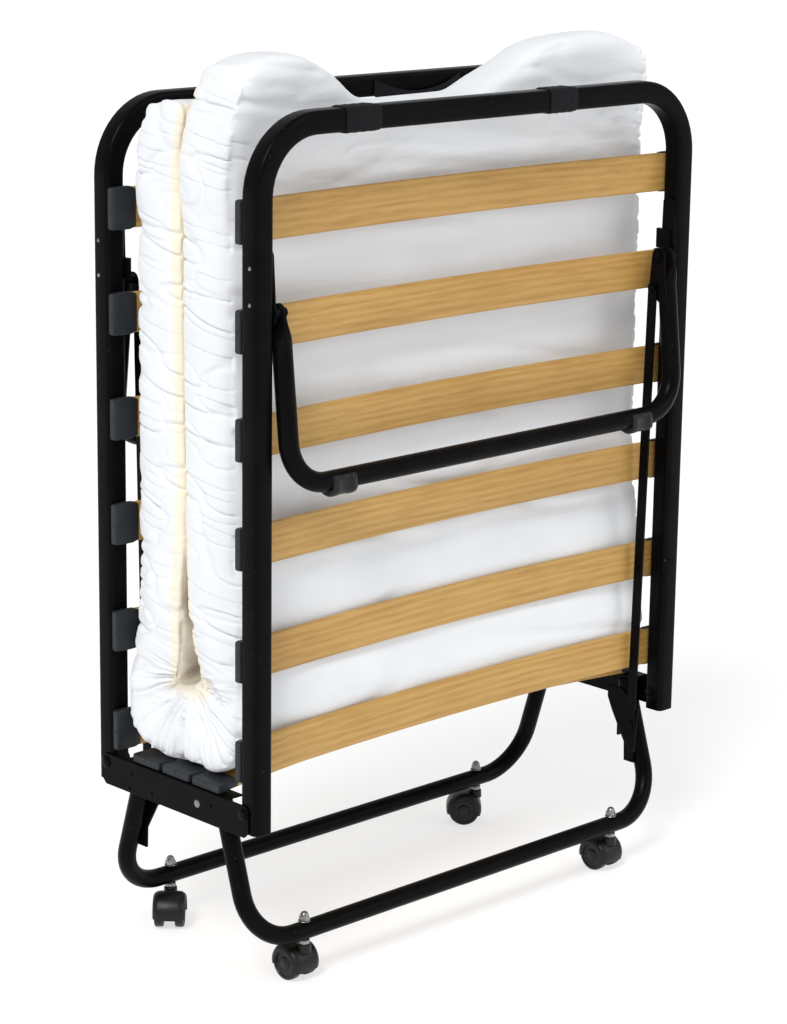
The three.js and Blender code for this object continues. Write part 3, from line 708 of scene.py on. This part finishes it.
# ------------------------------------------------------------------ mattress
MATTRESS_HALF = 389
MATTRESS_LOW, REAR_TOP = 286, 1142
VOXEL = 6.0
CLOTH_STEPS = 20
HALF_SLIT = 9.0               # between the limbs while they are remeshed; closed afterwards
SLIT_FOOT = 398               # height of the slit's lower end
SLIT_OPEN, SLIT_SHUT = 505, 575   # heights between which the slit closes
REST_OVER_SLATS = 283         # height of the underside where the centre slats do not bow

# As (z, y) pairs: where the limbs meet, the two outer faces, and the open end of the slit.
SPLIT_LINE = ((286, -14), (398, -1), (560, 1.4), (640, 5), (760, 9), (1020, 10), (1060, 8), (1096, 1),
              (1146, -10), (1170, -18), (1210, -26))
FRONT_SIDE = ((1050, -80), (900, -80), (782, -83), (655, -87), (579, -94), (503, -104), (440, -110),
              (380, -112), (335, -109), (305, -93), (288, -63))
REAR_SIDE = ((295, 79), (307, 101), (324, 113), (344, 118), (372, 118), (408, 114), (458, 106), (540, 101),
             (640, 98), (760, 98), (885, 97), (1010, 95), (1058, 89), (1090, 82), (1120, 72), (1137, 60))
SLIT_END = ((505, 8), (438, 9), (410, 13), (379, 29), (391, 1), (404, -31), (417, -20), (457, -16), (508, -6))

# Height of the front limb's top along X, as (x, z): a swelling at each end and a dip between them.
HUMP = ((-390, 1188), (-362, 1203), (-330, 1206), (-300, 1204), (-278, 1199), (-251, 1187), (-224, 1174),
        (-197, 1158), (-176, 1147), (-140, 1137), (-105, 1134), (50, 1136), (75, 1152), (106, 1164),
        (134, 1177), (163, 1193), (201, 1200), (281, 1205), (322, 1203), (365, 1193), (390, 1176))


def along(table, at):
    """Reads a table of (place, value) pairs, sorted by place."""
    places, values = zip(*sorted(table))
    return np.interp(at, places, values)


def split_y(z):
    """Where the two limbs meet at a height."""
    return along(SPLIT_LINE, z)


def lean_y(x, z):
    """Front of the swollen top, which leans out over the bar, less so towards the right side."""
    return -80 - (34 - 24 * smooth_step(60, 380, x)) * np.maximum((z - 1050) / 150, 0) ** 1.2


def mattress_section(x):
    """Closed (y, z) outline of the doubled mattress at x, the front limb first."""
    top = along(HUMP, x)
    outline = [(split_y(top) - HALF_SLIT - 14, top), (lean_y(x, top) + 14, top)]
    for z in np.linspace(top - 12, 1062, 6):
        outline.append((lean_y(x, z), z))
    outline += [(y, z) for z, y in FRONT_SIDE]
    outline += [(-40, MATTRESS_LOW), (0, MATTRESS_LOW), (46, MATTRESS_LOW + 1)]
    outline += [(y, z) for z, y in REAR_SIDE]
    outline += [(28, REAR_TOP), (8, REAR_TOP + 2)]
    for z in (1128, 1096, 1060, 1020, 900, 760, 640, 560):
        outline.append((split_y(z) + HALF_SLIT, z))
    outline += [(y, z) for z, y in SLIT_END]
    for z in (560, 640, 760, 900, 1020, 1060, 1096, 1115):
        outline.append((split_y(z) - HALF_SLIT, z))
    outline.append((split_y(top - 12) - HALF_SLIT, top - 12))
    return [(y, sunk(x, y, z)) for y, z in outline]


def sunk(x, y, z):
    """Height of an outline's point over the bowed centre slats, and in the dip of the rear limb."""
    if z < 330:
        return max(z, REST_OVER_SLATS + bow(x))
    if y > split_y(z):
        return z - 17 * smooth_step(-330, -210, x) * smooth_step(1085, 1140, z)
    return z


def remeshed(name, part):
    """Object of even faces over a closed part."""
    mesh = bpy.data.meshes.new(name)
    mesh.from_pydata([tuple(MM * c for c in p) for p in part[0]], [], part[1])
    rough = bpy.data.objects.new(name, mesh)
    bpy.context.scene.collection.objects.link(rough)
    triangles = rough.modifiers.new("triangles", "TRIANGULATE")
    triangles.ngon_method = "CLIP"
    remesh = rough.modifiers.new("remesh", "REMESH")
    remesh.mode = "VOXEL"
    remesh.voxel_size = VOXEL * MM
    return baked(rough)


def baked(obj):
    """Applies an object's modifiers."""
    graph = bpy.context.evaluated_depsgraph_get()
    mesh = bpy.data.meshes.new_from_object(obj.evaluated_get(graph))
    obj.modifiers.clear()
    obj.data = mesh
    return obj


def points_of(mesh):
    co = np.empty(len(mesh.vertices) * 3)
    mesh.vertices.foreach_get("co", co)
    return co.reshape(-1, 3) / MM


def set_points(mesh, points):
    mesh.vertices.foreach_set("co", (points * MM).ravel())
    mesh.update()


def relaxed(mesh, points, turns):
    """Rounds a shape by drawing each point towards its neighbours."""
    edges = np.empty(len(mesh.edges) * 2, int)
    mesh.edges.foreach_get("vertices", edges)
    a, b = edges.reshape(-1, 2).T
    count = np.bincount(a, minlength=len(points)) + np.bincount(b, minlength=len(points))
    for _ in range(turns):
        total = np.empty_like(points)
        for axis in range(3):
            total[:, axis] = (np.bincount(a, points[b, axis], len(points))
                              + np.bincount(b, points[a, axis], len(points)))
        points = 0.4 * points + 0.6 * total / count[:, None]
    return points


def normals_of(mesh):
    out = np.empty(len(mesh.vertices) * 3)
    mesh.vertices.foreach_get("normal", out)
    return out.reshape(-1, 3)


def lattice(p, seed):
    """Smooth noise from 0 to 1 at points given in cells."""
    cell = np.floor(p).astype(np.int64)
    part = p - cell
    part = part * part * (3 - 2 * part)
    total = np.zeros(len(p))
    for corner in range(8):
        step = np.array([corner & 1, corner >> 1 & 1, corner >> 2])
        c = cell + step
        mixed = (c[:, 0] * 73856093) ^ (c[:, 1] * 19349663) ^ (c[:, 2] * 83492791) ^ (seed * 2654435761)
        mixed = (mixed ^ (mixed >> 13)) * 1274126177 & 0xFFFFFFFF
        value = ((mixed ^ (mixed >> 16)) & 0xFFFF) / 65535
        weight = np.prod(np.where(step, part, 1 - part), axis=1)
        total += value * weight
    return total


def creases(p, cells, seed, width=0.13):
    """1 along thin wandering lines, falling to 0 beside them."""
    return np.exp(-((lattice(p / cells, seed) * 2 - 1) / width) ** 2)


def slat_face(x):
    """Distance of the slats' inner faces from the middle of the cot."""
    return SLAT_Y - SLAT_T / 2 - SLAT_BOW * (1 - np.clip(x / SLAT_END, -1, 1) ** 2)


def settled(points):
    """Presses the mattress clear of the slats on all three sides."""
    x, y, z = points.T.copy()
    on_slat = np.zeros(len(x))
    for end, sign in ENDS.items():
        for top in SLAT_TOPS[end]:
            high = POST_BOTTOM + top
            low = high - SLAT_W
            band = smooth_step(low - 16, low - 1, z) * (1 - smooth_step(high + 1, high + 16, z))
            on_slat = np.maximum(on_slat, np.where(sign * y > 0, band, 0))
    limit = slat_face(x) - 0.8 + 5 * (1 - on_slat)
    y = np.clip(y, -limit, limit)
    holder = 360
    z = np.maximum(z, 281.2 + np.where(np.abs(x) > holder, 0, bow(x) - bow(holder) + 0.6))
    return np.stack([x, y, z], 1)


def closed(points):
    """Brings the two limbs together above the open part of the slit, without letting them cross."""
    x, y, z = points.T
    split = split_y(z)
    off = np.abs(y - split)
    near = np.exp(-(np.maximum(off - HALF_SLIT, 0) / 26) ** 2)
    drawn = np.maximum(off - (HALF_SLIT - 1.2) * near, np.minimum(off, 1.2))
    off = off + (drawn - off) * smooth_step(SLIT_OPEN, SLIT_SHUT, z)
    return np.stack([x, split + np.sign(y - split) * off, z], 1)


def puffed(obj, limit):
    """Swells the cover with cloth under a little pressure; no point moves further than limit."""
    start = points_of(obj.data)
    cloth = obj.modifiers.new("cloth", "CLOTH")
    cloth.settings.use_pressure = True
    cloth.settings.uniform_pressure_force = 4
    cloth.settings.effector_weights.gravity = 0
    cloth.settings.shrink_min = -0.03
    cloth.settings.quality = 5
    cloth.settings.bending_stiffness = 0.4
    cloth.collision_settings.use_collision = False
    scene = bpy.context.scene
    for step in range(1, CLOTH_STEPS + 1):
        scene.frame_set(step)
    baked(obj)
    scene.frame_set(1)
    move = points_of(obj.data) - start
    far = np.linalg.norm(move, axis=1, keepdims=True)
    share = np.minimum(1, limit[:, None] / np.maximum(far, 1e-6))
    return start + move * share


def level_creases(points):
    """Depth of the level creases across the ends, shallower beside the seam between the limbs."""
    x, y, z = points.T
    side = np.sign(x)
    q = np.stack([x * 0.2 + 90 * side, y, z + 0.2 * y * side], 1)
    edge = 0.4 + 0.6 * smooth_step(4, 34, np.abs(y - split_y(z)))
    level = 4.0 * creases(q, (60, 90, 30), 3, 0.1) + 2.2 * creases(q, (60, 60, 14), 5, 0.12) * edge
    return level - 1.4 * lattice(q / (60, 60, 20), 9)


def bend_pleats(points):
    """Depth of the pleats that run out from the slit's end round the bend, and where they are."""
    x, y, z = points.T
    ry, rz = y + 6, z - 402
    radius = np.hypot(ry, rz)
    fan = np.arctan2(ry, -rz) * 8.5 + 0.7 * lattice(points / 38, 2)
    rays = np.stack([np.sign(x) * 7, fan, radius / 150], 1)
    pleat = np.abs(2 * lattice(rays, 12) - 1) + 0.6 * np.abs(2 * lattice(rays * (1, 2.2, 1), 13) - 1)
    bend = (1 - smooth_step(384, 436, z)) * smooth_step(14, 40, radius)
    return 9.5 * (1.0 - pleat) * (1 - 0.45 * smooth_step(60, 140, radius)), bend


def face_slack(points):
    """Depth of the slack on the broad faces, none where the limbs lie against each other."""
    x, y, z = points.T
    drift = points + np.stack([0 * x, 0 * x, 0.09 * x + 14 * lattice(points / 150, 27)], 1)
    slack = 5.5 * (lattice(drift / (230, 90, 58), 21) - 0.5) + 4.2 * creases(drift, (250, 80, 46), 23, 0.16)
    slack += 2.6 * creases(drift, (120, 80, 19), 25, 0.14) * smooth_step(960, 1040, z)
    between = np.exp(-((y - split_y(z)) / 9) ** 2) * smooth_step(440, 560, z)
    return slack * 0.8 * (1 - between)


def gathered(points, normals):
    """Wrinkles of the cover: level creases on the ends, pleats round the bend, slack on the faces."""
    _, y, z = points.T
    on_end = smooth_step(0.35, 0.8, np.abs(normals[:, 0]))
    on_face = smooth_step(0.5, 0.9, np.abs(normals[:, 1]))
    pleats, bend = bend_pleats(points)
    depth = on_end * (level_creases(points) * (1 - bend) + pleats * bend) + on_face * face_slack(points)
    limb_middle = np.where(y > split_y(z), split_y(z) + 42, split_y(z) - 45)
    crown = on_end * 7 * (1 - np.clip((y - limb_middle) / 46, -1, 1) ** 2)
    return points + normals * (crown * smooth_step(420, 520, z) - depth)[:, None]


def refine_ends(obj, depth):
    """Splits the faces of the ends down to a depth, because the wrinkles there are fine."""
    work = bmesh.new()
    work.from_mesh(obj.data)
    chosen = [e for e in work.edges if all(abs(v.co.x) > (MATTRESS_HALF - depth) * MM for v in e.verts)]
    bmesh.ops.subdivide_edges(work, edges=chosen, cuts=1, use_grid_fill=True)
    work.to_mesh(obj.data)
    work.free()


def cut_half(whole, name, keep_front):
    """Half of the mattress, up to the plane through the bend and the slit between the limbs."""
    made = whole.copy()
    made.data = whole.data.copy()
    made.name = made.data.name = name
    bpy.context.scene.collection.objects.link(made)
    work = bmesh.new()
    work.from_mesh(made.data)
    low, high = (split_y(MATTRESS_LOW), MATTRESS_LOW), (split_y(SLIT_FOOT), SLIT_FOOT)
    normal = Vector((0, high[1] - low[1], low[0] - high[0])).normalized()
    reach = (SLIT_FOOT + 4) * MM
    geometry = [e for e in (*work.verts, *work.edges, *work.faces)
                if (e.co if isinstance(e, bmesh.types.BMVert) else e.verts[0].co).z < reach]
    bmesh.ops.bisect_plane(work, geom=geometry, plane_co=(0, low[0] * MM, low[1] * MM), plane_no=normal)
    limb = work.verts.layers.float["limb"]
    drop = []
    for face in work.faces:
        c = face.calc_center_median() / MM
        if c.z > SLIT_FOOT + 22:
            in_front = sum(v[limb] for v in face.verts) < 0
        else:
            in_front = c.y < split_y(c.z)
        if in_front != keep_front:
            drop.append(face)
    bmesh.ops.delete(work, geom=drop, context="FACES")
    work.to_mesh(made.data)
    work.free()
    return made


def cloth_freedom(points):
    """How far the cloth may move each point: most at the ends, less near the top and by the open slit."""
    x, y, z = points.T
    free = 2 + 4 * smooth_step(MATTRESS_HALF - 60, MATTRESS_HALF - 10, np.abs(x))
    free = free * (1 - 0.6 * smooth_step(1060, 1120, z))
    by_slit = np.exp(-((y - split_y(z)) / 34) ** 2)
    return free * (1 - 0.85 * by_slit * (1 - smooth_step(560, 640, z)))


def shaped_mattress():
    """The whole doubled mattress with its folds and marks, before it is cut in two."""
    stations = [MATTRESS_HALF * math.sin(math.pi / 2 * k / 30) for k in range(-30, 31)]
    rings = []
    for x in stations:
        rings.append([(x * (1 - 0.045 * smooth_step(1120, 1200, z)), y, z) for y, z in mattress_section(x)])
    whole = remeshed("mattress_whole", skin(rings))
    set_points(whole.data, relaxed(whole.data, points_of(whole.data), 6))
    _, y, z = points_of(whole.data).T
    mark_points(whole.data, "limb", y - split_y(z))
    swollen = puffed(whole, cloth_freedom(points_of(whole.data)))
    set_points(whole.data, swollen)
    refine_ends(whole, 34)
    set_points(whole.data, closed(points_of(whole.data)))
    for _ in range(2):
        set_points(whole.data, settled(points_of(whole.data)))
    set_points(whole.data, relaxed(whole.data, points_of(whole.data), 2))
    refine_ends(whole, 16)
    set_points(whole.data, relaxed(whole.data, points_of(whole.data), 1))
    set_points(whole.data, gathered(points_of(whole.data), normals_of(whole.data)))
    mark_cover(whole.data)
    whole.data.shade_smooth()
    whole.data.materials.clear()
    whole.data.materials.append(COTTON)
    return whole


def build_mattress():
    whole = shaped_mattress()
    for end, sign in ENDS.items():
        half = cut_half(whole, f"{end}_mattress_half", end == "front")
        half_start = (0, -0.001, 0.398)
        half_end = (0, half_start[1] + sign * 0.026, half_start[2] + 0.016)
        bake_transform(half, "centre", f"{end}_half", start=half_start, end=half_end)
        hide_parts(f"{end}_mattress")
    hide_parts("mattress_fold")
    bpy.data.objects.remove(whole)


def mark_points(mesh, name, values):
    mesh.attributes.new(name, "FLOAT", "POINT").data.foreach_set("value", values.astype(np.float32))


def mark_cover(mesh):
    """Where the cover is cream along the slit and its seam, and where a darker taupe is painted on as shade
    inside the slit.
    """
    x, y, z = points_of(mesh).T
    apex = 560
    rear_edge = np.interp(z, (379, 410, 438, 505, apex), (29, 13, 8.4, 8, 1.4))
    rear_edge = np.where(z > apex, split_y(z), rear_edge)
    front_edge = np.interp(z, (404, 417, 457, 508, apex), (-31, -20, -16, -6, 1.4))
    front_edge = np.where(z > apex, split_y(z), front_edge)
    outside = np.maximum(np.maximum(y - rear_edge, front_edge - y), 0)
    width = np.interp(z, (372, 400, apex, 660), (5, 9, 10, 6))
    cream = (1 - smooth_step(width, width + 11, outside)) * smooth_step(364, 390, z)
    deep = MATTRESS_HALF - np.abs(x)
    cream = cream * (1 - smooth_step(34, 52, deep))
    # inner is painted shade: a taupe laid inside the slit, fading in past the ends and out again deeper in.
    inner = (1 - smooth_step(0, 5, outside)) * smooth_step(372, 400, z) * (1 - smooth_step(555, 575, z))
    inner = inner * smooth_step(3, 12, deep) * (1 - smooth_step(36, 62, deep))
    mark_points(mesh, "cream", cream)
    mark_points(mesh, "inner", inner)


build_mattress()


# ------------------------------------------------------------------ elastic straps
STRAP_THICK = 1.4
LOOP_STEPS = 12


def strap_loop(name, low, high, sign):
    """Elastic band wrapped round a half's top bar between two values of x."""
    y, z = sign * FRAME_Y, FRAME_TOP - TUBE_X / 2

    def ring(x, off):
        outline = rounded(TUBE_Y / 2 + off, TUBE_X / 2 + off, TUBE_ROUND + off, 6)
        return [(x, y + a, z + b) for a, b in outline]

    outer, inner = [], []
    for i in range(LOOP_STEPS + 1):
        x = low + (high - low) * i / LOOP_STEPS
        pucker = 0.35 + 0.3 * math.sin(i * 2.1)
        thick = STRAP_THICK if 0 < i < LOOP_STEPS else STRAP_THICK * 0.5
        outer.append(ring(x, pucker + thick))
        inner.append(ring(x, pucker))
    points, faces = skin(outer + inner[::-1], closed=True)
    made = piece(name, points, faces, "strap_elastic", f"{'front' if sign < 0 else 'rear'}_half", crisp=60)


def hanging_strap(name, low, high, width):
    """Slack closing strap along the inner side of the rear bar, held to the bar at both ends."""
    face_y = FRAME_Y - TUBE_Y / 2 - 1.2
    bar_z = FRAME_TOP - TUBE_X / 2
    half, thin = width / 2, STRAP_THICK / 2
    corners = ((-half, -thin), (half, -thin), (half, thin), (-half, thin))
    steps, drop, swing = 24, 20, 8.0
    rings, places = [], []
    for i in range(steps + 1):
        t = i / steps
        sag = 4 * t * (1 - t)
        x = low + (high - low) * t
        y = face_y - 1.0 - swing * sag - 1.5 * math.sin(9 * t) * sag
        z = bar_z - 2 - drop * sag
        lean = 0.35 * sag
        places.append((x, y, z))
        rings.append([(x, y + b + a * lean, z + a) for a, b in corners])
    made = piece(name, *skin(rings), "strap_elastic", "rear_half", crisp=60)


strap_loop("front_left_bar_loop", -257, -197, -1)
strap_loop("front_right_bar_loop", 109, 161, -1)
hanging_strap("rear_closing_strap", 62, 226, 24)


# The remaining steel parts are shown as they are, with their edges broken.
for node_name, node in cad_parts.items():
    if node.hide_render:
        continue
    node.data.materials.clear()
    node.data.materials.append(PAINT)
    weld = node.modifiers.new("weld", "WELD")
    weld.merge_threshold = 1e-5
    soften = node.modifiers.new("soften", "BEVEL")
    soften.width = 0.0007
    soften.segments = 2
    soften.limit_method = "ANGLE"
    soften.angle_limit = math.radians(35)
    soften.harden_normals = True


# ------------------------------------------------------------------ light, floor and camera
def build_stage():
    floor_mesh = bpy.data.meshes.new("floor")
    reach = 60
    corners = [(-reach, -reach, 0), (reach, -reach, 0), (reach, reach, 0), (-reach, reach, 0)]
    floor_mesh.from_pydata(corners, [], [(0, 1, 2, 3)])
    floor = bpy.data.objects.new("floor", floor_mesh)
    bpy.context.scene.collection.objects.link(floor)
    pale = Graph("pale_floor")
    pale.set(Roughness=0.9, Specular_IOR_Level=0.1, Emission_Strength=0.66)
    pale.shader.inputs["Base Color"].default_value = (0.42, 0.42, 0.42, 1)
    pale.shader.inputs["Emission Color"].default_value = (1, 1, 1, 1)
    floor_mesh.materials.append(pale.material)
    world = bpy.data.worlds.new("studio")
    world.use_nodes = True
    world.node_tree.nodes["Background"].inputs["Color"].default_value = (1, 1, 1, 1)
    world.node_tree.nodes["Background"].inputs["Strength"].default_value = 0.5
    bpy.context.scene.world = world
    suns = (("key", (-2.6, -1.3, 3.0), 20, 1.9), ("fill", (1.8, -3.2, 1.6), 30, 0.45))
    for name, place, spread, strength in suns:
        light = bpy.data.lights.new(name, "SUN")
        light.energy = strength
        light.angle = math.radians(spread)
        lamp = bpy.data.objects.new(name, light)
        lamp.location = place
        lamp.rotation_euler = (-Vector(place)).to_track_quat("-Z", "Y").to_euler()
        bpy.context.scene.collection.objects.link(lamp)


def build_camera():
    data = bpy.data.cameras.new("camera")
    data.lens = 101.4545
    data.sensor_width = 36
    data.clip_end = 100
    camera = bpy.data.objects.new("camera", data)
    camera.location = (-2.6775, -2.7530, 1.5178)
    camera.rotation_euler = [math.radians(a) for a in (75.983, -0.745, -43.867)]
    bpy.context.scene.collection.objects.link(camera)
    bpy.context.scene.camera = camera


build_stage()
build_camera()
bpy.context.scene.view_settings.view_transform = "Standard"
